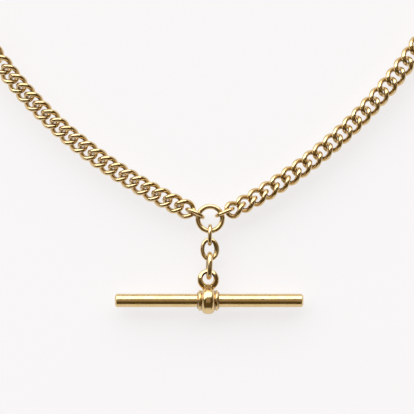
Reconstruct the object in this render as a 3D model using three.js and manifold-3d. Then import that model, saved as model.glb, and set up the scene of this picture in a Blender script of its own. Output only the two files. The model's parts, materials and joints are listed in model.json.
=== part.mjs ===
// Pocket watch chain of the double kind: two curb-link arms run from a centre ring, a short drop with a
// T-bar hangs from the same ring, and each arm ends in a swivel snap hook that holds the watch or a fob.
// Millimetres, +Z up. The chain is laid out flat in the XY plane with its arms open like a U: the drop
// points to -Y and the arms climb to +Y. All pieces are centred on one level, half a bead above z = 0.
import * as THREE from 'three';
import { mergeVertices } from 'three/addons/utils/BufferGeometryUtils.js';
import Module from 'manifold-3d';

const wasm = await Module();
wasm.setup();

// ---------------------------------------------------------------- driving dimensions
// Curb links: oval loops of round wire, twisted along their length so that they lie flat on each other.
const linkWire = 1.02;
const linkLength = 4.74; // outside
const linkWidth = 4.15; // outside
const linkTwist = 58; // degrees of twist at each end of a link
const linkSquareness = 2.2; // 2 is a plain oval, more is squarer
const linkPitch = 2.62; // a pulled-out chain's length for each link
const linksInArm = 20; // separate links in each arm
const linksInRun = 21; // links that each run solid stands for
const runsInArm = 2;
const rollPower = 3; // how soon an arm's links lie flat, further from the ring

// Centre ring and the plain oval links beside it.
const ringWire = 1.05;
const ringDiameter = 6.0; // outside
const connectorWire = 0.86;
const connectorLength = 4.4;
const connectorWidth = 3.4;
const wireGap = 0.04; // between two wires that bear on each other

// T-bar: a round bar through a barrel bead, with a ridged collar each side of the bead.
const barLength = 38;
const barDiameter = 2.72;
const barEdge = 0.35; // rounding at the bar's ends
const beadDiameter = 5.6;
const beadWidth = 2.76;
const beadFromMiddle = -0.19; // how far along X the bead sits from the bar's middle
const collarDiameter = 4.25;
const collarWidth = 0.79;
const collarGap = 0.06; // between bead and collar, and around the bar
const bailHole = 2.2; // at its waist
const bailHoleHeight = 4.32; // from the bar's axis to the hole's centre
const bailDiameter = 4.4; // outside
const bailHeight = 4.22; // from the bar's axis to the outside's centre
const bailDepth = 1.2;
const bailRidge = 0.24; // how far the hole flares from its waist to the bail's faces
const neckWidth = 2.2;

// Swivel snap hook.
const eyeWire = 0.95;
const eyeDiameter = 3.9; // outside
const eyeRoll = 65; // 0 lies in the hook's flat, 90 stands on edge
const eyeReach = 1.2; // how far the eye's end lies inside the last link's
const stemDiameter = 1.1;
const barrelLength = 3.0;
const barrelDiameter = 3.3;
const hookThickness = 1.7;
const hookLength = 12.4; // outside, along the swivel's axis
const hookWidth = 8.6; // outside
const hookWall = 1.6;
const gateThickness = 0.7;
const pinDiameter = 0.8;
const pinGap = 0.1;

// Each arm starts at an angle on the ring, and its links turn from one angle above level to another.
// firstLinkReach is how far the first link's near end lies inside the connector's far end, and slack is
// how much shorter the last link's pitch is than a pulled-out chain's.
const arms = [
  {
    side: 'left',
    mirror: -1,
    ringAngle: 17,
    connectorAngle: 27,
    connectorRoll: 100,
    firstLinkReach: 1.26,
    startAngle: 24.9,
    endAngle: 53.4,
    bendPower: 1.22,
    startRoll: -10,
    endRoll: -18,
    slack: 0.22,
    runTurns: [26, 12],
  },
  {
    side: 'right',
    mirror: 1,
    ringAngle: 24,
    connectorAngle: 24,
    connectorRoll: 90,
    firstLinkReach: 1.08,
    startAngle: 24.1,
    endAngle: 56.1,
    bendPower: 0.92,
    startRoll: -52,
    endRoll: -3,
    slack: 0,
    runTurns: [25, 11],
  },
];

// The drop's three links: the centres of the wire at each link's two ends, and the roll about its length
// (0 lies flat, 90 stands on edge).
const dropLinks = [
  { name: 'top', near: [0, -1.48, 0], far: [-0.08, -5.13, 0], wire: 0.86, width: 3.3, roll: 90 },
  { name: 'middle', near: [-0.1, -4.21, 0], far: [-0.1, -8.18, 0], wire: 0.88, width: 3.8, roll: 0 },
  { name: 'bottom', near: [-0.08, -7.15, 0], far: [-0.28, -11.85, 0], wire: 1.08, width: 4.2, roll: 84 },
];
const beadCentre = new THREE.Vector3(-0.38, -16.5, 0);

// How finely the solids are faceted.
const wireSides = 8;
const loopSteps = 12;
const ringSteps = 20;
const barSides = 20;

// ---------------------------------------------------------------- helpers
const degrees = Math.PI / 180;
const level = new THREE.Group();

function gold(roughness = 0.28) {
  return new THREE.MeshStandardMaterial({ color: 0xd2ab62, roughness, metalness: 1 });
}

function addPiece(name, geometry, parent, roughness) {
  const piece = new THREE.Mesh(geometry, gold(roughness));
  piece.name = name;
  parent.add(piece);
  return piece;
}

// A frame whose X runs from near to far, with Z up, then rolled about X.
function frameAlong(near, far, rollDegrees) {
  const frame = new THREE.Group();
  const along = far.clone().sub(near).normalize();
  const across = new THREE.Vector3(0, 0, 1).cross(along).normalize();
  const up = along.clone().cross(across);
  frame.quaternion.setFromRotationMatrix(new THREE.Matrix4().makeBasis(along, across, up));
  frame.rotateX(rollDegrees * degrees);
  frame.position.copy(near).lerp(far, 0.5);
  level.add(frame);
  return frame;
}

// A closed loop of round wire around the origin. centreline(t) gives its middle for t from 0 to 1.
function wireLoop(centreline, wire, steps, sides = wireSides) {
  const positions = [];
  const indices = [];
  const smallStep = 1e-4;
  for (let i = 0; i < steps; i++) {
    const t = i / steps;
    const middle = centreline(t);
    const tangent = centreline(t + smallStep).sub(centreline(t - smallStep)).normalize();
    const outward = middle.clone().addScaledVector(tangent, -middle.dot(tangent)).normalize();
    const sideways = tangent.clone().cross(outward);
    for (let j = 0; j < sides; j++) {
      const angle = (j / sides) * 2 * Math.PI;
      const point = middle.clone();
      point.addScaledVector(outward, (wire / 2) * Math.cos(angle));
      point.addScaledVector(sideways, (wire / 2) * Math.sin(angle));
      positions.push(...point.toArray());
      const next = (j + 1) % sides;
      const here = i * sides;
      const there = ((i + 1) % steps) * sides;
      indices.push(here + j, here + next, there + next, here + j, there + next, there + j);
    }
  }
  const loop = new THREE.BufferGeometry();
  loop.setAttribute('position', new THREE.Float32BufferAttribute(positions, 3));
  loop.setIndex(indices);
  return loop;
}

// An oval loop lying in the XY plane, long along X. With a twist, its near end is turned one way about X
// and its far end the other way.
function ovalLoop(length, width, wire, twist = 0, squareness = 2, steps = loopSteps) {
  const halfLength = (length - wire) / 2;
  const halfWidth = (width - wire) / 2;
  const squared = (value) => Math.sign(value) * Math.abs(value) ** (2 / squareness);
  const centreline = (t) => {
    const along = halfLength * squared(Math.cos(2 * Math.PI * t));
    const across = halfWidth * squared(Math.sin(2 * Math.PI * t));
    const turn = (-twist * degrees * along) / halfLength;
    return new THREE.Vector3(along, across * Math.cos(turn), across * Math.sin(turn));
  };
  return wireLoop(centreline, wire, steps);
}

function curbLoop() {
  return ovalLoop(linkLength, linkWidth, linkWire, linkTwist, linkSquareness);
}

// A solid turned about X from [x, radius] points. They run towards +X along the outside, and a list that
// doesn't start on the axis comes back through the bore and closes.
function turned(profile, sides = barSides) {
  const outline = profile.map(([x, radius]) => new THREE.Vector2(radius, x));
  if (profile[0][1] > 0) {
    outline.push(outline[0].clone());
  }
  return new THREE.LatheGeometry(outline, sides).rotateZ(-Math.PI / 2);
}

function toSolid(geometry) {
  const bare = geometry.clone();
  bare.deleteAttribute('normal');
  bare.deleteAttribute('uv');
  const merged = mergeVertices(bare, 1e-5);
  const vertProperties = new Float32Array(merged.attributes.position.array);
  const triVerts = new Uint32Array(merged.index.array);
  return new wasm.Manifold(new wasm.Mesh({ numProp: 3, vertProperties, triVerts }));
}

function toGeometry(solid) {
  const { vertProperties, triVerts } = solid.getMesh();
  const geometry = new THREE.BufferGeometry();
  geometry.setAttribute('position', new THREE.BufferAttribute(new Float32Array(vertProperties), 3));
  geometry.setIndex(new THREE.BufferAttribute(new Uint32Array(triVerts), 1));
  geometry.computeVertexNormals();
  return geometry;
}

function joined(...geometries) {
  return toGeometry(geometries.map(toSolid).reduce((whole, next) => whole.add(next)));
}

function cutFrom(geometry, ...cutters) {
  return toGeometry(cutters.map(toSolid).reduce((left, cutter) => left.subtract(cutter), toSolid(geometry)));
}

// ---------------------------------------------------------------- centre ring and drop
const ringRadius = (ringDiameter - ringWire) / 2;

function addCentreRing() {
  const centreline = (t) => {
    const angle = 2 * Math.PI * t;
    return new THREE.Vector3(ringRadius * Math.cos(angle), ringRadius * Math.sin(angle), 0);
  };
  addPiece('center_ring', wireLoop(centreline, ringWire, ringSteps), level);
}

function addDropLinks() {
  for (const { name, near, far, wire, width, roll } of dropLinks) {
    const [nearEnd, farEnd] = [new THREE.Vector3(...near), new THREE.Vector3(...far)];
    const length = nearEnd.distanceTo(farEnd) + wire;
    addPiece(`drop_link_${name}`, ovalLoop(length, width, wire), frameAlong(nearEnd, farEnd, roll));
  }
}

// ---------------------------------------------------------------- T-bar
function barGeometry() {
  const [half, radius] = [barLength / 2, barDiameter / 2];
  return turned([
    [-half, 0],
    [-half, radius - barEdge],
    [-half + barEdge, radius],
    [half - barEdge, radius],
    [half, radius - barEdge],
    [half, 0],
  ]);
}

const boreRadius = (barDiameter / 2 + collarGap) / Math.cos(Math.PI / barSides);

function beadGeometry() {
  const half = beadWidth / 2;
  const endShare = 0.8; // how far along the bead's oval its flat ends cut it
  const arcPoints = 8;
  const profile = [];
  for (let i = 0; i <= arcPoints; i++) {
    const x = half * (-1 + (2 * i) / arcPoints);
    profile.push([x, (beadDiameter / 2) * Math.sqrt(1 - Math.abs((x / half) * endShare) ** 3)]);
  }
  profile.push([half, boreRadius], [-half, boreRadius]);
  return turned(profile);
}

// A collar steps up from the bar to a rounded ridge beside the bead, which is on its +X side.
function collarGeometry() {
  const [half, ridge] = [collarWidth / 2, collarDiameter / 2];
  return turned([
    [-half, ridge - 0.5],
    [-half * 0.4, ridge - 0.42],
    [-half * 0.1, ridge - 0.08],
    [half * 0.2, ridge],
    [half * 0.7, ridge],
    [half, ridge - 0.15],
    [half, boreRadius],
    [-half, boreRadius],
  ]);
}

// The bail is an eye on the bead. Its faces rise from the rim to a ridge around the hole, which is flared
// both ways and sits a little above the middle, so the eye is thinnest at its top.
function bailGeometry() {
  const [hole, outer, half] = [bailHole / 2, bailDiameter / 2, bailDepth / 2];
  const disc = turned([
    [-half, 0],
    [-half, hole + bailRidge + 0.1],
    [-half * 0.5, outer - 0.2],
    [0, outer],
    [half * 0.5, outer - 0.2],
    [half, hole + bailRidge + 0.1],
    [half, 0],
  ]);
  const flare = turned([
    [-half - 0.02, 0],
    [-half - 0.02, hole + bailRidge],
    [-half * 0.3, hole],
    [half * 0.3, hole],
    [half + 0.02, hole + bailRidge],
    [half + 0.02, 0],
  ]);
  const eye = cutFrom(disc, flare.translate(0, bailHoleHeight - bailHeight, 0));
  return eye.rotateY(-Math.PI / 2).translate(0, bailHeight, 0);
}

function neckGeometry() {
  const bottom = boreRadius + 0.4;
  const top = bailHoleHeight - bailHole / 2 - 0.15;
  return new THREE.BoxGeometry(neckWidth, top - bottom, bailDepth * 0.8).translate(0, (top + bottom) / 2, 0);
}

function addTBar() {
  const assembly = new THREE.Group();
  assembly.position.copy(beadCentre);
  level.add(assembly);
  addPiece('tbar_bar', barGeometry(), assembly, 0.2).position.x = -beadFromMiddle;
  addPiece('tbar_bead', joined(beadGeometry(), neckGeometry(), bailGeometry()), assembly, 0.22);
  const collarPlace = beadWidth / 2 + collarGap + collarWidth / 2;
  addPiece('tbar_collar_left', collarGeometry(), assembly).position.x = -collarPlace;
  addPiece('tbar_collar_right', collarGeometry().rotateY(Math.PI), assembly).position.x = collarPlace;
}

// ---------------------------------------------------------------- arms
// From the joint between two links to the middle of the wire at the nearer end of either.
const jointInLink = (linkLength - linkWire - linkPitch) / 2;

// Headings are degrees from +X in the chain's level.
function heading(arm, angle) {
  return arm.mirror > 0 ? angle : 180 - angle;
}

function ahead(point, headingDegrees, distance) {
  const angle = headingDegrees * degrees;
  return point.clone().add(new THREE.Vector3(Math.cos(angle), Math.sin(angle), 0).multiplyScalar(distance));
}

// The connector stands on edge, with its near end's wire inside the ring's.
function addConnector(arm) {
  const onRing = ahead(new THREE.Vector3(), heading(arm, arm.ringAngle), ringRadius);
  const direction = heading(arm, arm.connectorAngle);
  const bearing = (ringWire + connectorWire) / 2 + wireGap;
  const near = ahead(onRing, direction, -bearing);
  const far = ahead(near, direction, connectorLength - connectorWire);
  const frame = frameAlong(near, far, arm.connectorRoll);
  addPiece(`${arm.side}_connector_link`, ovalLoop(connectorLength, connectorWidth, connectorWire), frame);
  return far;
}

function linkAngle(arm, k) {
  return arm.startAngle + (arm.endAngle - arm.startAngle) * (k / linksInArm) ** arm.bendPower;
}

function addLinks(arm, start) {
  let joint = start;
  for (let k = 1; k <= linksInArm; k++) {
    const direction = heading(arm, linkAngle(arm, k));
    const next = ahead(joint, direction, linkPitch - (arm.slack * k) / linksInArm);
    const roll = arm.endRoll + (arm.startRoll - arm.endRoll) * (1 - k / linksInArm) ** rollPower;
    const name = `${arm.side}_link_${String(k).padStart(2, '0')}`;
    addPiece(name, curbLoop(), frameAlong(joint, next, roll));
    joint = next;
  }
  return joint;
}

// A run is a stretch of chain on a circular arc, in a frame at its near end with X along the chain. It has
// a true link at each end, and between them a plain strip with the chain's outer width and thickness.
function runPoint(turn, distance) {
  const length = linksInRun * linkPitch;
  const bend = turn * degrees;
  const part = (bend * distance) / length;
  return {
    x: (length / bend) * Math.sin(part),
    y: (length / bend) * (1 - Math.cos(part)),
    angle: part,
  };
}

function runStrip(turn) {
  const [halfWidth, halfThickness, bevel] = [linkWidth / 2 - 0.15, linkWire * 1.05, 0.6];
  const section = [
    [halfWidth, halfThickness - bevel],
    [halfWidth - bevel, halfThickness],
    [bevel - halfWidth, halfThickness],
    [-halfWidth, halfThickness - bevel],
    [-halfWidth, bevel - halfThickness],
    [bevel - halfWidth, -halfThickness],
    [halfWidth - bevel, -halfThickness],
    [halfWidth, bevel - halfThickness],
  ];
  const cuts = 8;
  const [first, last] = [linkPitch * 1.1, linkPitch * (linksInRun - 1.1)];
  const positions = [];
  const indices = [];
  const count = section.length;
  for (let i = 0; i <= cuts; i++) {
    const { x, y, angle } = runPoint(turn, first + ((last - first) * i) / cuts);
    for (const [across, up] of section) {
      positions.push(x - across * Math.sin(angle), y + across * Math.cos(angle), up);
    }
  }
  for (let i = 0; i < cuts; i++) {
    const here = i * count;
    for (let j = 0; j < count; j++) {
      const next = (j + 1) % count;
      indices.push(here + j, here + next, here + count + next);
      indices.push(here + j, here + count + next, here + count + j);
    }
  }
  const end = cuts * count;
  for (let j = 1; j < count - 1; j++) {
    indices.push(0, j + 1, j);
    indices.push(end, end + j, end + j + 1);
  }
  const strip = new THREE.BufferGeometry();
  strip.setAttribute('position', new THREE.Float32BufferAttribute(positions, 3));
  strip.setIndex(indices);
  return strip;
}

function runGeometry(turn) {
  const ends = [linkPitch / 2, linkPitch * (linksInRun - 0.5)].map((distance) => {
    const { x, y, angle } = runPoint(turn, distance);
    return curbLoop().rotateZ(angle).translate(x, y, 0);
  });
  return joined(runStrip(turn), ...ends);
}

function addRuns(arm, start) {
  let joint = start;
  let direction = heading(arm, arm.endAngle);
  for (let n = 0; n < runsInArm; n++) {
    const turn = arm.mirror * arm.runTurns[n];
    const frame = new THREE.Group();
    frame.position.copy(joint);
    frame.rotation.z = direction * degrees;
    level.add(frame);
    addPiece(`${arm.side}_chain_run_${n + 1}`, runGeometry(turn), frame);
    const end = runPoint(turn, linksInRun * linkPitch);
    joint = frame.position.clone().add(new THREE.Vector3(end.x, end.y, 0).applyEuler(frame.rotation));
    direction += turn;
  }
  return { joint, direction };
}

// ---------------------------------------------------------------- swivel snap hooks
// A swivel's own frame has its eye's centre at the origin and the hook along +X.
const barrelStart = eyeDiameter / 2 + 0.35;
const barrelEnd = barrelStart + barrelLength;
const hookCentre = barrelEnd + hookLength / 2 - 0.9;
const gapStart = 49; // degrees around the hook, from its crown, where the gate's gap starts
const gapEnd = 122;
const gateTip = 51;
const gateInset = 0.35; // how much thinner than the hook's wall the gate is, on each side

// The eye can turn to any angle against the hook. Its stem runs through the barrel to a rivet head that
// sits inside the hook.
function eyeGeometry() {
  const radius = (eyeDiameter - eyeWire) / 2;
  const centreline = (t) => {
    const angle = 2 * Math.PI * t;
    return new THREE.Vector3(radius * Math.cos(angle), 0, radius * Math.sin(angle));
  };
  const [stem, head] = [stemDiameter / 2, stemDiameter * 0.85];
  const stemAndHead = turned([
    [radius - 0.2, 0],
    [radius - 0.2, stem],
    [barrelEnd + 0.12, stem],
    [barrelEnd + 0.12, head],
    [barrelEnd + 0.5, head],
    [barrelEnd + 0.7, stem],
    [barrelEnd + 0.7, 0],
  ], 12);
  return joined(wireLoop(centreline, eyeWire, loopSteps + 2), stemAndHead);
}

function hookPoint(inset, angleDegrees) {
  const angle = angleDegrees * degrees;
  return new THREE.Vector2(
    hookCentre + (hookLength / 2 - inset) * Math.cos(angle),
    (hookWidth / 2 - inset) * Math.sin(angle),
  );
}

// A band around the hook's oval, from one angle to another, between two insets from its outside.
function hookBand(from, to, outerInset, innerInset, thickness, bevel, steps) {
  const outline = [];
  for (let i = 0; i <= steps; i++) {
    outline.push(hookPoint(outerInset, from + ((to - from) * i) / steps));
  }
  for (let i = steps; i >= 0; i--) {
    outline.push(hookPoint(innerInset, from + ((to - from) * i) / steps));
  }
  const band = new THREE.ExtrudeGeometry(new THREE.Shape(outline), {
    depth: thickness - 2 * bevel,
    bevelEnabled: bevel > 0,
    bevelThickness: bevel,
    bevelSize: bevel,
    bevelOffset: -bevel,
    bevelSegments: 1,
  });
  return band.translate(0, 0, bevel - thickness / 2);
}

const gatePivot = hookPoint(hookWall / 2, gapEnd + 6);

function pinShape(diameter, height, sides = 12) {
  const pin = new THREE.CylinderGeometry(diameter / 2, diameter / 2, height, sides);
  return pin.rotateX(Math.PI / 2).translate(gatePivot.x, gatePivot.y, 0);
}

function barrelGeometry() {
  const [radius, bore] = [barrelDiameter / 2, stemDiameter / 2 + pinGap];
  return turned([
    [barrelStart, radius * 0.9],
    [barrelStart + 0.3, radius],
    [barrelStart + 0.9, radius * 0.85],
    [barrelEnd - 0.9, radius],
    [barrelEnd, radius * 0.92],
    [barrelEnd, bore],
    [barrelStart, bore],
  ], 16);
}

// The room that the gate's tip sweeps as it swings inwards past the hook's nose.
function tipSweep() {
  const reach = hookPoint(gateInset, gateTip).distanceTo(gatePivot) + pinGap;
  const sector = new THREE.Shape();
  sector.absarc(gatePivot.x, gatePivot.y, reach, -14 * degrees, 10 * degrees, false);
  sector.absarc(gatePivot.x, gatePivot.y, reach - hookWall, 10 * degrees, -14 * degrees, true);
  const room = new THREE.ExtrudeGeometry(sector, { depth: hookThickness, bevelEnabled: false });
  return room.translate(0, 0, -hookThickness / 2);
}

// The hook's oval starts at the barrel, runs round the crown and stops short of the gate's gap.
// Its heel is forked around the gate's knuckle, with the pin across the fork.
function hookGeometry() {
  const oval = hookBand(gapEnd - 360, gapStart, 0, hookWall, hookThickness, 0.25, 26);
  const lug = pinShape(hookWall + 0.5, hookThickness, 12);
  const boreClear = turned([
    [barrelStart - 1, 0],
    [barrelStart - 1, stemDiameter / 2 + pinGap],
    [barrelEnd, stemDiameter / 2 + pinGap],
    [barrelEnd, stemDiameter * 0.85 + pinGap],
    [barrelEnd + hookWall, stemDiameter * 0.85 + pinGap],
    [barrelEnd + hookWall, 0],
  ], 16);
  const slot = pinShape(3.0, gateThickness + 2 * pinGap, 16);
  const body = cutFrom(joined(oval, lug, barrelGeometry()), boreClear, slot, tipSweep());
  return joined(body, pinShape(pinDiameter, hookThickness));
}

function gateGeometry() {
  const arm = hookBand(gateTip, gapEnd + 6, gateInset, hookWall - gateInset, gateThickness, 0, 8);
  const knuckle = pinShape(1.7, gateThickness, 14);
  return cutFrom(joined(arm, knuckle), pinShape(pinDiameter + 2 * pinGap, 3));
}

function addSwivel(arm, end) {
  const frame = new THREE.Group();
  frame.position.copy(ahead(end.joint, end.direction, jointInLink - eyeReach + (eyeDiameter - eyeWire) / 2));
  frame.rotation.z = end.direction * degrees;
  if (arm.mirror > 0) {
    frame.rotateX(Math.PI);
  }
  level.add(frame);
  addPiece(`${arm.side}_swivel_eye`, eyeGeometry(), frame).rotation.x = (eyeRoll - 90) * degrees;
  addPiece(`${arm.side}_swivel_hook`, hookGeometry(), frame);
  addPiece(`${arm.side}_swivel_gate`, gateGeometry(), frame);
}

// ---------------------------------------------------------------- the whole chain
addCentreRing();
addDropLinks();
addTBar();
for (const arm of arms) {
  const connectorEnd = addConnector(arm);
  const firstJoint = ahead(connectorEnd, heading(arm, arm.startAngle), jointInLink - arm.firstLinkReach);
  const linksEnd = addLinks(arm, firstJoint);
  addSwivel(arm, addRuns(arm, linksEnd));
}

// The origin is under the middle of the whole chain's box, at the level that it lies on.
const watchChain = new THREE.Group();
watchChain.add(level);
watchChain.updateMatrixWorld(true);
const box = new THREE.Box3().setFromObject(level, true);
const middle = box.getCenter(new THREE.Vector3());
level.position.set(-middle.x, -middle.y, -box.min.z);

export default watchChain;
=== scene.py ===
import json
import math

import bmesh
import bpy
import numpy as np
from mathutils import Matrix, Vector


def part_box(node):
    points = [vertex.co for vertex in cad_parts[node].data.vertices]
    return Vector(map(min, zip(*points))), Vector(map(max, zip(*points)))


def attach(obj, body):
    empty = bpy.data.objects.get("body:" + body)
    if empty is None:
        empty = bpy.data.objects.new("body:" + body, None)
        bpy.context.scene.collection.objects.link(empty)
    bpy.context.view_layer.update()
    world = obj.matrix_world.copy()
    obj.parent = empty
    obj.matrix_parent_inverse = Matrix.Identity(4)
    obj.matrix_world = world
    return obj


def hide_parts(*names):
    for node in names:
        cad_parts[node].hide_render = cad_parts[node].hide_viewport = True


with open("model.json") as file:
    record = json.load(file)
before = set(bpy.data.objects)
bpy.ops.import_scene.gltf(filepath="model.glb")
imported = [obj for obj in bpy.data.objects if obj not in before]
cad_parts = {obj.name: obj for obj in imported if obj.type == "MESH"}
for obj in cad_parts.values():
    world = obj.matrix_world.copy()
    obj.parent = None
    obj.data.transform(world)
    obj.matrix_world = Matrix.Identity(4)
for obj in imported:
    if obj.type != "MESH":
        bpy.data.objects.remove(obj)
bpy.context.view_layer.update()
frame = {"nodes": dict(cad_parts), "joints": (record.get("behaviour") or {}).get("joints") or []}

# ---------------------------------------------------------------- driving dimensions, in metres
MM = 0.001

# Curb links: oval loops of round wire, twisted along their length. The same values as in the CAD model.
LINK_WIRE = 1.02 * MM
LINK_LENGTH = 4.74 * MM
LINK_WIDTH = 4.15 * MM
LINK_TWIST = math.radians(58)
LINK_SQUARENESS = 2.2
LINKS_IN_ARM = 20

# The runs outside the picture. Their wire is a little thinner, to clear the links at their ends as they turn.
RUN_WIRE = 0.96 * MM
LINKS_IN_RUN = 21

# Centre ring, connectors and the drop's links. The connectors' wire is a little thinner than in the CAD
# model, to clear the first curb links as they turn.
RING_WIRE = 1.05 * MM
RING_DIAMETER = 6.0 * MM
LEFT_PLACE = 163  # degrees round the ring, where the left connector bears
RIGHT_PLACE = 24
DROP_PLACE = 270
CONNECTOR_WIRE = 0.82 * MM
CONNECTOR_LENGTH = 4.4 * MM
CONNECTOR_WIDTH = 3.4 * MM
DROP_LINKS = {
    # name: wire, outside width
    "top": (0.86 * MM, 3.3 * MM),
    "middle": (0.88 * MM, 3.8 * MM),
    "bottom": (1.08 * MM, 4.2 * MM),
}

# T-bar. The bail's lean, its hole's shift and its flare are only in this model, not in the CAD.
BAR_DIAMETER = 2.72 * MM
BAR_LENGTH = 38 * MM
BAR_EDGE = 0.35 * MM
BEAD_DIAMETER = 5.6 * MM
BEAD_WIDTH = 2.76 * MM
BEAD_END_SHARE = 0.8
COLLAR_DIAMETER = 4.25 * MM
COLLAR_WIDTH = 0.79 * MM
COLLAR_GAP = 0.06 * MM
BAIL_HOLE = 2.2 * MM
BAIL_HOLE_HEIGHT = 4.32 * MM
BAIL_DIAMETER = 4.4 * MM
BAIL_HEIGHT = 4.22 * MM
BAIL_DEPTH = 1.2 * MM
BAIL_RIDGE = 0.24 * MM
BAIL_LEAN = 0.3  # how far the hole moves up for each unit of height
BAIL_HOLE_SHIFT = 0.08 * MM
BAIL_FLARE = 1.25
NECK_WIDTH = 2.2 * MM
BORE_RADIUS = BAR_DIAMETER / 2 + COLLAR_GAP * 0.3
SKIN_GRAIN = 0.045 * MM
SKIN_ROUNDS = 2

# Swivel snap hooks, in a frame with the eye's centre at its origin and the hook along +X.
SPIN_POINT = 3.8 * MM
EYE_WIRE = 0.95 * MM
EYE_DIAMETER = 3.9 * MM
STEM_DIAMETER = 1.1 * MM
STEM_HEAD_RADIUS = STEM_DIAMETER * 0.85
BARREL_START = 2.3 * MM
BARREL_END = 5.3 * MM
BARREL_DIAMETER = 3.3 * MM
HOOK_CENTRE = 10.6 * MM
HOOK_LENGTH = 12.4 * MM
HOOK_WIDTH = 8.6 * MM
HOOK_WALL = 1.6 * MM
HOOK_THICKNESS = 1.7 * MM
GATE_THICKNESS = 0.7 * MM
GATE_TIP = 51
GATE_INSET = 0.35 * MM
GATE_PIVOT_ANGLE = 128
GAP_START = 49
GAP_END = 122
PIN_DIAMETER = 0.8 * MM
PIN_GAP = 0.1 * MM
LUG_DIAMETER = HOOK_WALL + 0.5 * MM
SLOT_DIAMETER = 3.0 * MM
KNUCKLE_DIAMETER = 1.7 * MM

# Mesh fineness.
WIRE_SIDES = 24
LOOP_STEPS = 72
RUN_SIDES = 16
RUN_STEPS = 44
LATHE_SIDES = 96

# Seeds for the small unevenness of hand-made wire. An arm link's seed is its number, plus 100 on the right.
DROP_SEED = 40
CONNECTOR_SEED = 50
EYE_SEED = 70
RIGHT_ARM_SEED = 100
RUN_SEED = 300

# The view: a square of the floor this wide, centred a little beside the ring, from straight above.
VIEW_WIDTH = 83.55 * MM
VIEW_FROM_RING = Vector((-0.626 * MM, 2.36 * MM, 0))
LENS = 200
SENSOR = 36

# The floor sheet, in metres, and the soft light panels around it.
FLOOR_GLOW = 0.77
FLOOR_PALENESS = 0.22
FLOOR_FLAT = 2.8
FLOOR_EDGE = 3.8
FLOOR_RISE = 0.45
SOFTBOX_DISTANCE = 5.0

# Dark brown, used for painted shade in hollows, crevices and the bail's hole, and for dirt.
SHADE_AND_DIRT_COLOUR = (0.14, 0.07, 0.02)


# ---------------------------------------------------------------- gold
def gold(name, colour, roughness, scratch_depth, dent_depth):
    """Polished yellow gold: clouded colour, dark brown painted shade and dirt where the shade-and-dirt point
    attribute says, scratches and dents.
    """
    material = bpy.data.materials.new(name)
    material.use_nodes = True
    nodes = material.node_tree.nodes
    link = material.node_tree.links.new
    shader = nodes["Principled BSDF"]
    shader.inputs["Metallic"].default_value = 1.0
    place = nodes.new("ShaderNodeTexCoord")

    def noise(scale, detail, stretch=(1, 1, 1), turn=(0, 0, 0)):
        mapping = nodes.new("ShaderNodeMapping")
        mapping.inputs["Scale"].default_value = stretch
        mapping.inputs["Rotation"].default_value = turn
        link(place.outputs["Object"], mapping.inputs["Vector"])
        texture = nodes.new("ShaderNodeTexNoise")
        texture.inputs["Scale"].default_value = scale
        texture.inputs["Detail"].default_value = detail
        link(mapping.outputs["Vector"], texture.inputs["Vector"])
        return texture.outputs["Fac"]

    def ramp(value, low, high, start=0.0, end=1.0):
        clamp = nodes.new("ShaderNodeMapRange")
        clamp.inputs["From Min"].default_value = low
        clamp.inputs["From Max"].default_value = high
        clamp.inputs["To Min"].default_value = start
        clamp.inputs["To Max"].default_value = end
        link(value, clamp.inputs["Value"])
        return clamp.outputs["Result"]

    def maths(operation, first, second):
        node = nodes.new("ShaderNodeMath")
        node.operation = operation
        for socket, value in zip(node.inputs, (first, second)):
            if isinstance(value, (int, float)):
                socket.default_value = value
            else:
                link(value, socket)
        return node.outputs[0]

    def mixed(factor, first, second):
        mix = nodes.new("ShaderNodeMix")
        mix.data_type = "RGBA"
        link(factor, mix.inputs["Factor"])
        for socket, value in ((mix.inputs[6], first), (mix.inputs[7], second)):
            if isinstance(value, tuple):
                socket.default_value = (*value, 1)
            else:
                link(value, socket)
        return mix.outputs[2]

    red, green, blue = colour
    clouds = ramp(noise(420, 3), 0.35, 0.65)
    warm = (red * 0.96, green * 0.93, blue * 0.80)
    clouded = mixed(clouds, colour, warm)
    # Painted shade and dirt: dark brown mixed in where the point attribute says, in patches. The same patches
    # are rougher.
    shade_and_dirt = nodes.new("ShaderNodeAttribute")
    shade_and_dirt.attribute_name = "shade_and_dirt"
    patchy_shade_and_dirt = maths("MULTIPLY", shade_and_dirt.outputs["Fac"], ramp(noise(2600, 4), 0.25, 0.6, 0.55, 1.0))
    link(mixed(patchy_shade_and_dirt, clouded, SHADE_AND_DIRT_COLOUR), shader.inputs["Base Color"])

    long_scratches = ramp(noise(900, 3, (1, 14, 5), (0.3, 0.2, 0.7)), 0.62, 0.74)
    cross_scratches = ramp(noise(1100, 3, (12, 1, 4), (0.1, 0.5, -0.4)), 0.64, 0.76)
    scratches = maths("MAXIMUM", long_scratches, cross_scratches)
    smooth = maths("ADD", ramp(noise(900, 4), 0.3, 0.7, roughness * 0.75, roughness * 1.25),
                   maths("MULTIPLY", scratches, 0.08))
    link(maths("ADD", smooth, maths("MULTIPLY", patchy_shade_and_dirt, 0.3)), shader.inputs["Roughness"])

    dents = nodes.new("ShaderNodeBump")
    dents.inputs["Distance"].default_value = dent_depth
    link(noise(1100, 2), dents.inputs["Height"])
    cuts = nodes.new("ShaderNodeBump")
    cuts.invert = True
    cuts.inputs["Distance"].default_value = scratch_depth
    link(scratches, cuts.inputs["Height"])
    link(dents.outputs["Normal"], cuts.inputs["Normal"])
    link(cuts.outputs["Normal"], shader.inputs["Normal"])
    return material


GOLDS = {
    "link_gold": gold("link_gold", (0.745, 0.57, 0.33), 0.19, 0.0015 * MM, 0.030 * MM),
    "ring_gold": gold("ring_gold", (0.745, 0.57, 0.33), 0.19, 0.0020 * MM, 0.035 * MM),
    "tbar_gold": gold("tbar_gold", (0.755, 0.57, 0.31), 0.20, 0.0006 * MM, 0.010 * MM),
    "swivel_gold": gold("swivel_gold", (0.745, 0.565, 0.32), 0.20, 0.0012 * MM, 0.015 * MM),
}


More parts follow.
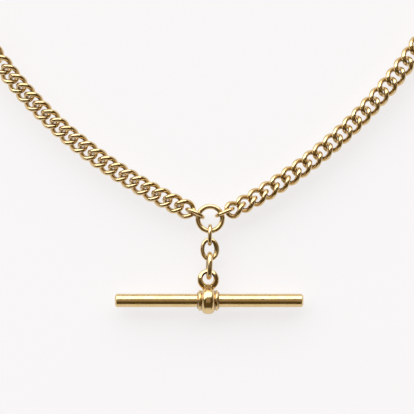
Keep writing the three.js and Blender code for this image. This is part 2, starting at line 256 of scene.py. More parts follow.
# ---------------------------------------------------------------- meshes
def add_piece(name, shells, slot, body, *nodes):
    """One object from a list of (points, faces, painted shade and dirt) shells. It rides on body and replaces
    the nodes.
    """
    points, faces, shade_and_dirt = [], [], []
    for shell_points, shell_faces, shell_shade_and_dirt in shells:
        start = len(points)
        points.extend(map(tuple, shell_points))
        faces.extend([tuple(start + i for i in face) for face in shell_faces])
        shade_and_dirt.extend(shell_shade_and_dirt)
    mesh = bpy.data.meshes.new(name)
    mesh.from_pydata(points, [], faces)
    attribute = mesh.attributes.new("shade_and_dirt", "FLOAT", "POINT")
    attribute.data.foreach_set("value", np.array(shade_and_dirt, np.float32))
    mesh.shade_smooth()
    return place_piece(name, mesh, slot, body, *nodes)


def place_piece(name, mesh, slot, body, *nodes):
    mesh.materials.clear()
    mesh.materials.append(GOLDS[slot])
    piece = bpy.data.objects.new(name, mesh)
    bpy.context.scene.collection.objects.link(piece)
    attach(piece, body)
    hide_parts(*nodes)
    return piece


def wire_loop(centreline, radius, steps=LOOP_STEPS, sides=WIRE_SIDES, shade_and_dirt=None):
    """A closed loop of wire around the origin. centreline(t) gives its middle for t from 0 to 1; radius and the
    painted shade and dirt amount take t and the angle around the wire, which is 0 on the loop's outside and pi
    on its inside."""
    t = np.arange(steps) / steps
    small = 1e-4
    middle = centreline(t)
    tangent = centreline(t + small) - centreline(t - small)
    tangent /= np.linalg.norm(tangent, axis=1)[:, None]
    outward = middle - (middle * tangent).sum(1)[:, None] * tangent
    outward /= np.linalg.norm(outward, axis=1)[:, None]
    sideways = np.cross(tangent, outward)
    angle = np.arange(sides) / sides * 2 * math.pi
    around = outward[:, None] * np.cos(angle)[None, :, None] + sideways[:, None] * np.sin(angle)[None, :, None]
    reach = radius(t[:, None], angle[None, :]) * np.ones((steps, sides))
    points = (middle[:, None] + around * reach[..., None]).reshape(-1, 3)
    shade_and_dirt_amount = np.zeros((steps, sides))
    if shade_and_dirt is not None:
        shade_and_dirt_amount = shade_and_dirt(t[:, None], angle[None, :]) * np.ones((steps, sides))
    faces = []
    for i in range(steps):
        here, there = i * sides, (i + 1) % steps * sides
        for j in range(sides):
            after = (j + 1) % sides
            faces.append((here + j, here + after, there + after, there + j))
    return points, faces, shade_and_dirt_amount.reshape(-1)


def placed(shell, axes, centre):
    points, faces, shade_and_dirt = shell
    return points @ axes + centre, faces, shade_and_dirt


def oval(length, width, wire, twist=0.0, squareness=2.0):
    """The centreline of an oval loop, long along X, whose two ends are turned opposite ways about X."""
    half_length, half_width = (length - wire) / 2, (width - wire) / 2

    def centreline(t):
        along, across = np.cos(2 * math.pi * t), np.sin(2 * math.pi * t)
        along = np.sign(along) * np.abs(along) ** (2 / squareness)
        across = np.sign(across) * np.abs(across) ** (2 / squareness)
        turn = -twist * along
        return np.stack([half_length * along, half_width * across * np.cos(turn),
                         half_width * across * np.sin(turn)], 1)

    return centreline


def at_ends(t, spread):
    """1 at a loop's two ends (t = 0 and 0.5), falling off over the given share of the loop."""
    from_end = np.abs((t * 2 + 0.5) % 1 - 0.5) / 2
    return np.exp(-(from_end / spread) ** 2)


def worn_wire(wire, seed, wear=0.14, waviness=0.010):
    """Hand-made wire: a little uneven along the loop, and worn where its neighbours bear on its inside."""
    chance = np.random.default_rng(seed)
    phases = chance.uniform(0, 2 * math.pi, 3)
    size = 0.99 + chance.uniform(-0.008, 0.002)

    def radius(t, angle):
        wave = np.sin(2 * math.pi * 2 * t + phases[0]) + np.sin(2 * math.pi * 5 * t + angle + phases[1])
        wave = wave + 0.6 * np.sin(2 * math.pi * 7 * t - 2 * angle + phases[2])
        inside = np.clip(-np.cos(angle), 0, 1)
        return wire / 2 * size * (1 - waviness + waviness * wave / 2.6 - wear * at_ends(t, 0.13) * inside)

    return radius


def inner_shade_and_dirt(t, angle):
    """Painted shade and dirt on a loop's inside, most at its two ends around the places that are rubbed bright.
    """
    inside = np.clip(-np.cos(angle) - 0.1, 0, 1)
    return inside * (0.5 + 0.5 * at_ends(t, 0.16)) * (1 - 0.6 * at_ends(t, 0.04))


def own_axes(node):
    """The centre of a wire loop's CAD solid, and its long, wide and thin directions."""
    points = np.array([v.co for v in frame["nodes"][node].data.vertices])
    points = np.unique(points.round(7), axis=0)
    centre = (points.min(0) + points.max(0)) / 2
    values, vectors = np.linalg.eigh((points - points.mean(0)).T @ (points - points.mean(0)))
    along, across = vectors[:, 2], vectors[:, 1]
    return np.array([along, across, np.cross(along, across)]), centre


def joint_of(child):
    return next(joint for joint in frame["joints"] if joint["child"] == child)


def middle_of(node):
    low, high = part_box(node)
    return np.array((low + high) / 2)


# ---------------------------------------------------------------- ring, connectors and drop
def add_centre_ring():
    middle_radius = (RING_DIAMETER - RING_WIRE) / 2

    def centreline(t):
        turn = 2 * math.pi * t
        return np.stack([middle_radius * np.cos(turn), middle_radius * np.sin(turn), 0 * t], 1)

    def near(t, degrees, spread):
        away = np.abs((t - degrees / 360 + 0.5) % 1 - 0.5) * 360
        return np.exp(-(away / spread) ** 2)

    def radius(t, angle):
        inside = np.clip(-np.cos(angle), 0, 1) ** 2
        wave = np.sin(2 * math.pi * 3 * t + 1) + 0.7 * np.sin(2 * math.pi * 8 * t + 2 * angle)
        worn = near(t, LEFT_PLACE, 14) + near(t, RIGHT_PLACE, 14) + near(t, DROP_PLACE, 16)
        flat = 0.06 * near(t, 235, 26) * np.clip(np.sin(angle), 0, 1) ** 2
        return RING_WIRE / 2 * (0.985 + 0.012 * wave / 1.7 - 0.10 * worn * inside - flat)

    # Painted shade and dirt on the ring's inside, around the places where the connectors and the drop bear.
    def shade_and_dirt(t, angle):
        inside = np.clip(-np.cos(angle), 0, 1)
        places = near(t, LEFT_PLACE, 24) + near(t, RIGHT_PLACE, 24) + near(t, DROP_PLACE, 24)
        return 0.7 * inside * places.clip(0, 1)

    shell = wire_loop(centreline, radius, steps=144, sides=32, shade_and_dirt=shade_and_dirt)
    add_piece("centre_ring_loop", [placed(shell, np.eye(3), middle_of("center_ring"))], "ring_gold",
              "center_ring", "center_ring")


def beaten_flat(wire, plain, side):
    """Wire that is flat on one long side of its loop, t = 0.25 for side 1 and 0.75 for side -1. The flat
    leans towards the loop's middle."""
    def radius(t, angle):
        away = np.abs(t - 0.5 + side * 0.25)
        share = 1 / (1 + (away / 0.115) ** 8)
        wide, thin = wire * 0.56, wire * 0.34
        lean = angle - side * math.radians(20)
        plate = ((np.abs(np.cos(lean)) / wide) ** 4 + (np.abs(np.sin(lean)) / thin) ** 4) ** -0.25
        return plain(t, angle) * (1 - share) + plate * share

    return radius


def add_oval_link(name, node, wire, width, length, seed, flat_toward=None):
    axes, centre = own_axes(node)
    radius = worn_wire(wire, seed)
    if flat_toward is not None:
        radius = beaten_flat(wire, radius, math.copysign(1, axes[1] @ flat_toward))
    shell = wire_loop(oval(length, width, wire), radius, shade_and_dirt=inner_shade_and_dirt)
    add_piece(name, [placed(shell, axes, centre)], "link_gold", node, node)


def long_side(node):
    axes, centre = own_axes(node)
    points = np.array([v.co for v in frame["nodes"][node].data.vertices])
    return np.ptp((points - centre) @ axes[0])


def add_drop_links():
    for seed, (name, (wire, width)) in enumerate(DROP_LINKS.items()):
        node = f"drop_link_{name}"
        flat_toward = np.array([1, 0, 0]) if name == "middle" else None
        add_oval_link(f"drop_{name}_oval_link", node, wire, width, long_side(node), DROP_SEED + seed,
                      flat_toward)


def add_connectors():
    for seed, side in enumerate(("left", "right")):
        node = f"{side}_connector_link"
        add_oval_link(f"{side}_connector_oval_link", node, CONNECTOR_WIRE, CONNECTOR_WIDTH, CONNECTOR_LENGTH,
                      CONNECTOR_SEED + seed)


# ---------------------------------------------------------------- arms
def curb_shell(wire, seed, steps, sides):
    centreline = oval(LINK_LENGTH, LINK_WIDTH, wire, LINK_TWIST, LINK_SQUARENESS)
    return wire_loop(centreline, worn_wire(wire, seed), steps, sides, inner_shade_and_dirt)


def add_arm_links():
    for side, first_seed in (("left", 0), ("right", RIGHT_ARM_SEED)):
        for k in range(1, LINKS_IN_ARM + 1):
            node = f"{side}_link_{k:02d}"
            axes, centre = own_axes(node)
            shell = placed(curb_shell(LINK_WIRE, first_seed + k, LOOP_STEPS, WIRE_SIDES), axes, centre)
            add_piece(f"{side}_curb_link_{k:02d}", [shell], "link_gold", node, node)


def arc_between(start, end, heading):
    """A circular arc in the chain's level from start to end that leaves start along heading. It is a
    function from a share of its length to a place and a direction."""
    chord = end - start
    length = np.hypot(chord[0], chord[1])
    bend = 2 * ((math.atan2(chord[1], chord[0]) - heading + math.pi) % (2 * math.pi) - math.pi)
    radius = length / 2 / math.sin(bend / 2)

    def place(share):
        turn = bend * share
        across = radius * (1 - math.cos(turn))
        along = radius * math.sin(turn)
        point = start + np.array([along * math.cos(heading) - across * math.sin(heading),
                                  along * math.sin(heading) + across * math.cos(heading), 0])
        return point, heading + turn

    return place


def add_runs():
    for side in ("left", "right"):
        pivots = [np.array(joint_of(f"{side}_{name}")["pos_m"]) for name in
                  ("link_20", "chain_run_1", "chain_run_2", "swivel_eye")]
        toward = pivots[1] - pivots[0]
        heading = math.atan2(toward[1], toward[0])
        for n in (1, 2):
            place = arc_between(pivots[n], pivots[n + 1], heading)
            shells = []
            for k in range(LINKS_IN_RUN):
                centre, direction = place((k + 0.5) / LINKS_IN_RUN)
                along = np.array([math.cos(direction), math.sin(direction), 0])
                across = np.array([-math.sin(direction), math.cos(direction), 0])
                axes = np.array([along, across, [0, 0, 1]])
                shell = curb_shell(RUN_WIRE, RUN_SEED + 30 * n + k, RUN_STEPS, RUN_SIDES)
                shells.append(placed(shell, axes, centre))
            node = f"{side}_chain_run_{n}"
            add_piece(f"{side}_curb_run_{n}", shells, "link_gold", node, node)
            heading = place(1)[1]


# ---------------------------------------------------------------- turned shapes
def turned(profile, sides=LATHE_SIDES, shade_and_dirt=None):
    """A solid turned about X from [x, radius] points that run towards +X along the outside. A list that
    doesn't start on the axis comes back through the bore and closes."""
    profile = np.array(profile, float)
    solid = profile[0][1] < 1e-9
    rings = profile[1:-1] if solid else profile
    angle = np.arange(sides) / sides * 2 * math.pi
    points = np.stack([np.repeat(rings[:, 0], sides),
                       (rings[:, 1][:, None] * np.cos(angle)).reshape(-1),
                       (rings[:, 1][:, None] * np.sin(angle)).reshape(-1)], 1)
    shade_and_dirt_amount = np.zeros(len(rings)) if shade_and_dirt is None else shade_and_dirt(rings[:, 0], rings[:, 1])
    shade_and_dirt_amount = np.repeat(shade_and_dirt_amount, sides)
    faces = []
    count = len(rings)
    for i in range(count - 1 if solid else count):
        here, there = i * sides, (i + 1) % count * sides
        for j in range(sides):
            after = (j + 1) % sides
            faces.append((here + j, there + j, there + after, here + after))
    faces = [face[::-1] for face in faces]
    if solid:
        points = np.vstack([points, [[profile[0][0], 0, 0], [profile[-1][0], 0, 0]]])
        shade_and_dirt_amount = np.append(shade_and_dirt_amount, [0, 0])
        first, last = len(points) - 2, len(points) - 1
        end = (count - 1) * sides
        for j in range(sides):
            after = (j + 1) % sides
            faces.append((first, after, j))
            faces.append((last, end + j, end + after))
    return points, faces, shade_and_dirt_amount


def rounded(corner_points, radius, steps=5):
    """An open outline with each inner corner rounded."""
    points = [Vector(p) for p in corner_points]
    out = [points[0]]
    for before, corner, after in zip(points, points[1:], points[2:]):
        into, away = (before - corner), (after - corner)
        reach = min(radius, into.length / 2, away.length / 2)
        start, end = corner + into.normalized() * reach, corner + away.normalized() * reach
        for i in range(steps + 1):
            u = i / steps
            out.append(start * (1 - u) ** 2 + corner * 2 * u * (1 - u) + end * u ** 2)
    out.append(points[-1])
    return [tuple(p) for p in out]


# ---------------------------------------------------------------- T-bar
def bar_shell():
    half, radius = BAR_LENGTH / 2, BAR_DIAMETER / 2
    stations = np.linspace(-half + 1.2 * BAR_EDGE, half - 1.2 * BAR_EDGE, 60)
    end = [(-half, 0), (-half, radius - BAR_EDGE), (-half + BAR_EDGE, radius), (-half + 1.2 * BAR_EDGE, radius)]
    start = rounded(end, BAR_EDGE * 0.9)
    finish = [(-x, r) for x, r in reversed(start)]
    middle = [(x, radius * (1 - 0.004 + 0.004 * math.sin(x * 900))) for x in stations[1:-1]]
    return turned(start + middle + finish)


def collar_shell(side):
    """A collar steps up from the bar to a rounded ridge beside the bead."""
    half, ridge = COLLAR_WIDTH / 2, COLLAR_DIAMETER / 2
    outline = [
        (-half, BORE_RADIUS), (-half, ridge - 0.50 * MM), (-half * 0.45, ridge - 0.40 * MM),
        (-half * 0.15, ridge - 0.06 * MM), (half * 0.25, ridge), (half * 0.72, ridge),
        (half, ridge - 0.13 * MM), (half, BORE_RADIUS),
    ]
    outline = rounded(outline, 0.08 * MM, 4)
    if side > 0:
        outline = [(-x, r) for x, r in reversed(outline)]

    # Painted shade and dirt on the collar's flanks below its ridge, where they fall to the bar and the bead.
    def shade_and_dirt(x, radius):
        return np.clip((ridge - 0.25 * MM - radius) / (0.2 * MM), 0, 1) * 0.7

    return turned(outline, shade_and_dirt=shade_and_dirt)


def bead_shell():
    half = BEAD_WIDTH / 2
    crown = []
    for i in range(41):
        x = half * (-1 + 2 * i / 40)
        crown.append((x, BEAD_DIAMETER / 2 * math.sqrt(1 - abs(x / half * BEAD_END_SHARE) ** 3)))
    return turned([(-half, BORE_RADIUS)] + crown + [(half, BORE_RADIUS)])


def facing_up(shell, height):
    """A shape turned about X, stood on its end so that it is round about Z, and moved along Y."""
    points, faces, shade_and_dirt = shell
    turn = np.array([[0, 0, 1], [0, 1, 0], [-1, 0, 0]], float)
    return points @ turn.T + np.array([0, height, 0]), faces, shade_and_dirt


def bail_mesh():
    """An eye whose faces rise from the rim to a ridge around the hole, which is flared both ways. The hole
    leans, so its wall is seen above the link and hidden below it."""
    hole, outer, half = BAIL_HOLE / 2, BAIL_DIAMETER / 2, BAIL_DEPTH / 2
    face = hole + BAIL_RIDGE * BAIL_FLARE
    rim = [(-half, face + 0.05 * MM), (-half * 0.86, face + 0.2 * MM), (-half * 0.52, outer - 0.21 * MM),
           (-half * 0.2, outer - 0.04 * MM), (0, outer)]
    outline = [(-half, 0), *rim, *[(-x, r) for x, r in reversed(rim[:-1])], (half, 0)]
    disc = facing_up(turned(rounded(outline, 0.12 * MM, 4)), BAIL_HEIGHT)
    over = half + 0.02 * MM
    waist = [(-over, 0), (-over, face), (-half * 0.25, hole), (half * 0.25, hole), (over, face), (over, 0)]
    points, faces, shade_and_dirt = facing_up(turned(rounded(waist, 0.15 * MM, 5)), BAIL_HOLE_HEIGHT + BAIL_HOLE_SHIFT)
    points[:, 1] += points[:, 2] * BAIL_LEAN
    return combine(as_object("bail", disc), [as_object("bail_hole", (points, faces, shade_and_dirt))], "DIFFERENCE")


def lobe_shell(centre, radii, sides=32, rings=20):
    """A closed egg-shaped lump."""
    profile = [(-math.cos(math.pi * i / rings), math.sin(math.pi * i / rings)) for i in range(rings + 1)]
    profile[0], profile[-1] = (-1, 0), (1, 0)
    points, faces, shade_and_dirt_amount = turned(profile, sides)
    return points * np.array(radii) + np.array(centre), faces, shade_and_dirt_amount


def as_object(name, shell):
    points, faces, shade_and_dirt = shell
    mesh = bpy.data.meshes.new(name)
    mesh.from_pydata([tuple(p) for p in points], [], [tuple(face) for face in faces])
    return mesh_object(name, mesh)


def mesh_object(name, mesh):
    thing = bpy.data.objects.new(name, mesh)
    bpy.context.scene.collection.objects.link(thing)
    return thing


def baked(thing):
    """The mesh of an object with its modifiers applied. The object itself goes."""
    bpy.context.view_layer.update()
    mesh = bpy.data.meshes.new_from_object(thing.evaluated_get(bpy.context.evaluated_depsgraph_get()))
    bpy.data.objects.remove(thing)
    return mesh


def combine(base, others, operation):
    for other in others:
        cut = base.modifiers.new("join", "BOOLEAN")
        cut.operation = operation
        cut.solver = "EXACT"
        cut.object = other
    mesh = baked(base)
    for other in others:
        bpy.data.objects.remove(other)
    return mesh


def united(name, shells):
    """One closed mesh from overlapping shells."""
    things = [as_object(f"{name}_{number}", shell) for number, shell in enumerate(shells)]
    return combine(things[0], things[1:], "UNION")


def fused(name, meshes, grain, rounds):
    """Overlapping closed meshes melted into one skin, with every edge softened as by years of polishing."""
    shape = bmesh.new()
    for mesh in meshes:
        shape.from_mesh(mesh)
    joined = bpy.data.meshes.new(name)
    shape.to_mesh(joined)
    shape.free()
    thing = mesh_object(name, joined)
    skin = thing.modifiers.new("skin", "REMESH")
    skin.mode = "VOXEL"
    skin.voxel_size = grain
    ease = thing.modifiers.new("ease", "SMOOTH")
    ease.factor = 0.5
    ease.iterations = rounds
    mesh = baked(thing)
    mesh.shade_smooth()
    return mesh


def set_shade_and_dirt(mesh, shade_and_dirt):
    """Sets the painted shade and dirt attribute from a function of the points' coordinates."""
    points = np.zeros(len(mesh.vertices) * 3, np.float32)
    mesh.vertices.foreach_get("co", points)
    amount = shade_and_dirt(points.reshape(-1, 3).astype(float))
    mesh.attributes.new("shade_and_dirt", "FLOAT", "POINT").data.foreach_set("value", amount.astype(np.float32))
    return mesh


def crisp(mesh, degrees=38):
    """Smooth shading, broken at edges sharper than the given angle."""
    shape = bmesh.new()
    shape.from_mesh(mesh)
    bmesh.ops.dissolve_degenerate(shape, dist=1e-7, edges=shape.edges)
    for face in shape.faces:
        face.smooth = True
    for edge in shape.edges:
        edge.smooth = len(edge.link_faces) == 2 and edge.calc_face_angle(0) < math.radians(degrees)
    shape.to_mesh(mesh)
    shape.free()
    return mesh


def moved(mesh, axes, centre):
    matrix = Matrix(np.array(axes).T.tolist()).to_4x4()
    matrix.translation = Vector(centre)
    mesh.transform(matrix)
    return mesh


def bead_mesh():
    """The barrel bead, with a short web up to the bail and a small shoulder on each side of the web's face."""
    web = lobe_shell((0, 2.66 * MM, 0), (NECK_WIDTH / 2, 0.46 * MM, 0.44 * MM))
    shoulders = [lobe_shell((side * 0.68 * MM, 2.90 * MM, 0), (0.36 * MM, 0.26 * MM, 0.66 * MM))
                 for side in (-1, 1)]
    parts = [baked(as_object("bead_part", shell)) for shell in (bead_shell(), web, *shoulders)]
    mesh = fused("bead_and_bail", [*parts, bail_mesh()], SKIN_GRAIN, SKIN_ROUNDS)

    # Painted shade at the top of the bail's hole, and painted shade and dirt at the bead's ends beside the
    # collars and along the joint of web and bead.
    def shade_and_dirt(points):
        from_axis = np.hypot(points[:, 1], points[:, 2])
        from_hole = np.hypot(points[:, 0], points[:, 1] - BAIL_HOLE_HEIGHT - points[:, 2] * BAIL_LEAN)
        ends = np.clip((BEAD_DIAMETER * 0.36 - from_axis) / (0.25 * MM), 0, 1)
        top = np.clip((points[:, 1] - BAIL_HOLE_HEIGHT) / (0.7 * MM), 0, 1)
        hole = np.clip((BAIL_HOLE / 2 + BAIL_RIDGE * 1.2 - from_hole) / (0.08 * MM), 0, 1) * top
        joint = np.exp(-((from_axis - 2.76 * MM) / (0.14 * MM)) ** 2) * (points[:, 1] > 2.3 * MM)
        joint = joint * np.clip(1.2 - np.abs(points[:, 0]) / (NECK_WIDTH / 2), 0, 1)
        return np.maximum(0.8 * ends, np.maximum(1.2 * hole, 0.9 * joint))

    return set_shade_and_dirt(mesh, shade_and_dirt)


def add_tbar():
    bar_centre = middle_of("tbar_bar")
    centre = np.array([middle_of("tbar_bead")[0], *bar_centre[1:]])
    add_piece("tbar_round_bar", [placed(bar_shell(), np.eye(3), bar_centre)], "tbar_gold", "tbar", "tbar_bar")
    place = BEAD_WIDTH / 2 + COLLAR_GAP + COLLAR_WIDTH / 2
    for side, name in ((-1, "left"), (1, "right")):
        shell = placed(collar_shell(side), np.eye(3), centre + np.array([side * place, 0, 0]))
        add_piece(f"tbar_{name}_flared_collar", [shell], "tbar_gold", "tbar", f"tbar_collar_{name}")
    place_piece("tbar_bead_and_bail", moved(bead_mesh(), np.eye(3), centre), "tbar_gold", "tbar", "tbar_bead")


# ---------------------------------------------------------------- swivels
def swivel_axes(side):
    spin, swing, gate = (joint_of(f"{side}_swivel_{name}") for name in ("hook", "eye", "gate"))
    along = np.array(spin["axis"])
    origin = np.array(spin["pos_m"]) - along * SPIN_POINT
    eye_across = np.array(swing["axis"])
    eye_axes = np.array([along, eye_across, np.cross(along, eye_across)])
    up = -np.array(gate["axis"])
    hook_axes = np.array([along, np.cross(up, along), up])
    return origin, eye_axes, hook_axes


def hook_point(inset, degrees):
    angle = math.radians(degrees)
    return np.array([HOOK_CENTRE + (HOOK_LENGTH / 2 - inset) * math.cos(angle),
                     (HOOK_WIDTH / 2 - inset) * math.sin(angle), 0])


def hook_band(start, end, outer_inset, inner_inset, thickness, steps, squareness=3.2, sides=28, taper=None):
    """A rounded band around the hook's oval, closed at both ends."""
    angle = np.arange(sides) / sides * 2 * math.pi
    across = np.sign(np.cos(angle)) * np.abs(np.cos(angle)) ** (2 / squareness)
    up = np.sign(np.sin(angle)) * np.abs(np.sin(angle)) ** (2 / squareness)
    points = []
    for i in range(steps + 1):
        degrees = start + (end - start) * i / steps
        outer, inner = hook_point(outer_inset, degrees), hook_point(inner_inset, degrees)
        middle, half = (outer + inner) / 2, (outer - inner) / 2
        size = 1.0 if taper is None else taper(i / steps)
        for a, u in zip(across, up):
            points.append(middle + half * a * size + np.array([0, 0, thickness / 2 * u * size]))
    faces = []
    for i in range(steps):
        here, there = i * sides, (i + 1) * sides
        for j in range(sides):
            after = (j + 1) % sides
            faces.append((here + j, there + j, there + after, here + after))
    end_ring = steps * sides
    faces.append(tuple(range(sides)))
    faces.append(tuple(end_ring + j for j in reversed(range(sides))))
    return np.array(points), faces, np.zeros(len(points))


def disc_shell(centre, diameter, height, edge, sides=48):
    """A short round boss standing along Z with rounded edges."""
    half, radius = height / 2, diameter / 2
    outline = rounded([(-half, 0), (-half, radius), (half, radius), (half, 0)], edge)
    points, faces, shade_and_dirt = facing_up(turned(outline, sides), 0)
    return points + np.array(centre), faces, shade_and_dirt


def barrel_shell():
    """The swivel's barrel, with a bead at each end and two turned grooves."""
    radius = BARREL_DIAMETER / 2
    start, length = BARREL_START, BARREL_END - BARREL_START
    shares = [(0, 0.80), (0.02, 0.95), (0.10, 1.0), (0.18, 0.95), (0.22, 0.84), (0.30, 0.84), (0.40, 0.90),
              (0.58, 0.98), (0.72, 1.0), (0.78, 0.92), (0.82, 0.92), (0.88, 0.98), (0.97, 0.94), (1.0, 0.85)]
    outline = [(start, 0)] + [(start + length * s, radius * r) for s, r in shares] + [(BARREL_END, 0)]

    # Painted shade and dirt in the barrel's low places: its wide groove and its two ends.
    def shade_and_dirt(x, reach):
        return np.clip((radius * 0.88 - reach) / (radius * 0.08), 0, 1) * 0.6

    return turned(rounded(outline, 0.10 * MM, 4), 64, shade_and_dirt)


def eye_mesh():
    middle_radius = (EYE_DIAMETER - EYE_WIRE) / 2

    def centreline(t):
        turn = 2 * math.pi * t
        return np.stack([middle_radius * np.cos(turn), 0 * t, middle_radius * np.sin(turn)], 1)

    loop = wire_loop(centreline, worn_wire(EYE_WIRE, EYE_SEED), 96, 28, inner_shade_and_dirt)
    stem, head = STEM_DIAMETER / 2, STEM_HEAD_RADIUS
    start = middle_radius - 0.2 * MM
    shoulder = BARREL_START - 0.12 * MM
    rivet = BARREL_END + 0.12 * MM
    outline = [(start, 0), (start, stem * 1.25), (start + 0.45 * MM, stem * 1.25), (shoulder, stem),
               (rivet, stem), (rivet, head), (rivet + 0.38 * MM, head), (rivet + 0.58 * MM, stem),
               (rivet + 0.58 * MM, 0)]
    return united("eye", [loop, turned(rounded(outline, 0.12 * MM, 4), 48)])


def tip_sweep():
    """The room that the gate's tip sweeps as it swings inwards past the hook's nose."""
    pivot = hook_point(HOOK_WALL / 2, GATE_PIVOT_ANGLE)
    reach = np.linalg.norm(hook_point(GATE_INSET, GATE_TIP) - pivot) + PIN_GAP
    angles = np.radians(np.linspace(-14, 10, 25))
    outline = [(reach * math.cos(a), reach * math.sin(a)) for a in angles]
    inner = reach - HOOK_WALL
    outline += [(inner * math.cos(a), inner * math.sin(a)) for a in reversed(angles)]
    points = [pivot + np.array([x, y, z]) for z in (-HOOK_THICKNESS, HOOK_THICKNESS) for x, y in outline]
    count = len(outline)
    faces = [tuple(reversed(range(count))), tuple(range(count, 2 * count))]
    faces += [(i, (i + 1) % count, count + (i + 1) % count, count + i) for i in range(count)]
    return np.array(points), faces, None


def hook_mesh():
    def taper(share):
        return 0.88 + 0.12 * math.sin(math.pi * min(1, share * 1.1))

    band = hook_band(GAP_END - 360, GAP_START, 0, HOOK_WALL, HOOK_THICKNESS, 110, taper=taper)
    pivot = hook_point(HOOK_WALL / 2, GATE_PIVOT_ANGLE)
    lug = disc_shell(pivot, LUG_DIAMETER, HOOK_THICKNESS, 0.25 * MM)
    slot = disc_shell(pivot, SLOT_DIAMETER, GATE_THICKNESS + 2 * PIN_GAP, 0.02 * MM)
    clear = STEM_DIAMETER / 2 + PIN_GAP
    clear_head = STEM_HEAD_RADIUS + PIN_GAP
    bore = turned([(BARREL_START - MM, 0), (BARREL_START - MM, clear), (BARREL_END, clear),
                   (BARREL_END, clear_head), (BARREL_END + HOOK_WALL, clear_head),
                   (BARREL_END + HOOK_WALL, 0)], 48)
    body = mesh_object("hook", united("hook", [band, lug, barrel_shell()]))
    cutters = [as_object(name, shell) for name, shell in (("slot", slot), ("bore", bore), ("tip", tip_sweep()))]
    body = mesh_object("hook", combine(body, cutters, "DIFFERENCE"))
    pin = as_object("pin", disc_shell(pivot, PIN_DIAMETER, HOOK_THICKNESS + 0.05 * MM, 0.1 * MM, 32))
    return combine(body, [pin], "UNION")


def gate_mesh():
    arm = hook_band(GATE_TIP, GATE_PIVOT_ANGLE, GATE_INSET, HOOK_WALL - GATE_INSET, GATE_THICKNESS, 40,
                    sides=20)
    pivot = hook_point(HOOK_WALL / 2, GATE_PIVOT_ANGLE)
    knuckle = disc_shell(pivot, KNUCKLE_DIAMETER, GATE_THICKNESS, 0.08 * MM)
    base = mesh_object("gate", united("gate", [arm, knuckle]))
    bore = as_object("gate_bore", disc_shell(pivot, PIN_DIAMETER + 2 * PIN_GAP, 3 * MM, 0.02 * MM, 32))
    return combine(base, [bore], "DIFFERENCE")


def add_swivels():
    eye, hook, gate = crisp(eye_mesh()), crisp(hook_mesh()), crisp(gate_mesh())
    for side in ("left", "right"):
        origin, eye_axes, hook_axes = swivel_axes(side)
        for name, mesh, axes, node in (
            ("swivel_eye_and_stem", eye, eye_axes, "swivel_eye"),
            ("snap_hook", hook, hook_axes, "swivel_hook"),
            ("snap_gate", gate, hook_axes, "swivel_gate"),
        ):
            place_piece(f"{side}_{name}", moved(mesh.copy(), axes, origin), "swivel_gold",
                        f"{side}_{node}", f"{side}_{node}")


# ---------------------------------------------------------------- camera, floor and light
def add_camera():
    ring = Vector(middle_of("center_ring"))
    data = bpy.data.cameras.new("camera")
    data.lens = LENS
    data.sensor_width = SENSOR
    data.clip_start = 0.01
    data.clip_end = 20
    camera = bpy.data.objects.new("camera", data)
    bpy.context.scene.collection.objects.link(camera)
    camera.location = ring + VIEW_FROM_RING + Vector((0, 0, VIEW_WIDTH * LENS / SENSOR))
    bpy.context.scene.camera = camera


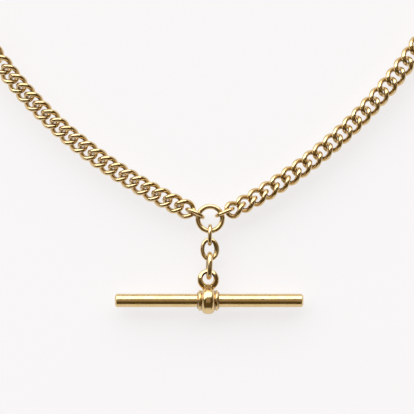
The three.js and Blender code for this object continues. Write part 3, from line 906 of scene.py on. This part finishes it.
def add_floor():
    """A pale sheet that glows a little, whose far edge curves up into a low cove all round."""
    rings = [(FLOOR_FLAT * i / 5, 0) for i in range(1, 6)]
    rings += [(FLOOR_FLAT + (FLOOR_EDGE - FLOOR_FLAT) * math.sin(a), 1 - math.cos(a))
              for a in np.radians(np.arange(10, 91, 10))]
    sides = 72
    points = [(0, 0, 0)]
    for radius, height in rings:
        for j in range(sides):
            angle = 2 * math.pi * j / sides
            points.append((radius * math.cos(angle), radius * math.sin(angle), height * FLOOR_RISE))
    faces = [(0, 1 + j, 1 + (j + 1) % sides) for j in range(sides)]
    for i in range(len(rings) - 1):
        for j in range(sides):
            after = (j + 1) % sides
            here, there = 1 + i * sides, 1 + (i + 1) * sides
            faces.append((here + j, there + j, there + after, here + after))
    mesh = bpy.data.meshes.new("floor")
    mesh.from_pydata(points, [], faces)
    mesh.shade_smooth()
    material = bpy.data.materials.new("pale_sheet")
    material.use_nodes = True
    nodes = material.node_tree.nodes
    shader = nodes["Principled BSDF"]
    shader.inputs["Roughness"].default_value = 0.9
    shader.inputs["Specular IOR Level"].default_value = 0.0
    shader.inputs["Emission Color"].default_value = (0.985, 0.975, 0.985, 1)
    shader.inputs["Emission Strength"].default_value = FLOOR_GLOW
    place = nodes.new("ShaderNodeTexCoord")
    texture = nodes.new("ShaderNodeTexNoise")
    texture.inputs["Scale"].default_value = 30
    blend = nodes.new("ShaderNodeMix")
    blend.data_type = "RGBA"
    blend.inputs[6].default_value = (*[FLOOR_PALENESS * c for c in (0.995, 0.985, 0.99)], 1)
    blend.inputs[7].default_value = (*[FLOOR_PALENESS * c for c in (1.005, 0.995, 1.0)], 1)
    link = material.node_tree.links.new
    link(place.outputs["Object"], texture.inputs["Vector"])
    link(texture.outputs["Fac"], blend.inputs["Factor"])
    link(blend.outputs[2], shader.inputs["Base Color"])
    mesh.materials.append(material)
    floor = bpy.data.objects.new("floor", mesh)
    bpy.context.scene.collection.objects.link(floor)


def add_softbox(name, toward, elevation, wide, high, brightness, colour=(1, 1, 1)):
    """A soft panel far away. toward is degrees from +Y to +X; wide and high are the angles that it fills."""
    data = bpy.data.lights.new(name, "AREA")
    data.shape = "RECTANGLE"
    data.size = 2 * SOFTBOX_DISTANCE * math.tan(math.radians(wide / 2))
    data.size_y = 2 * SOFTBOX_DISTANCE * math.tan(math.radians(high / 2))
    data.energy = brightness * math.pi * data.size * data.size_y
    data.color = colour
    lamp = bpy.data.objects.new(name, data)
    bpy.context.scene.collection.objects.link(lamp)
    a, e = math.radians(toward), math.radians(elevation)
    heading = Vector((math.sin(a) * math.cos(e), math.cos(a) * math.cos(e), math.sin(e)))
    lamp.location = heading * SOFTBOX_DISTANCE
    lamp.rotation_euler = (-lamp.location).to_track_quat("-Z", "Y").to_euler()


def add_lights():
    add_softbox("back_softbox", toward=-14, elevation=36, wide=104, high=51, brightness=3.2)
    add_softbox("front_card", toward=180, elevation=16, wide=46, high=17, brightness=0.85)
    add_softbox("top_panel", toward=0, elevation=88, wide=34, high=34, brightness=0.3, colour=(1, 0.86, 0.66))
    world = bpy.data.worlds.new("studio")
    bpy.context.scene.world = world
    world.use_nodes = True
    shade = world.node_tree.nodes["Background"]
    shade.inputs["Color"].default_value = (1, 0.66, 0.20, 1)
    shade.inputs["Strength"].default_value = 0.10
    bpy.context.scene.view_settings.view_transform = "Standard"


add_camera()
add_floor()
add_lights()
add_centre_ring()
add_connectors()
add_drop_links()
add_arm_links()
add_runs()
add_tbar()
add_swivels()
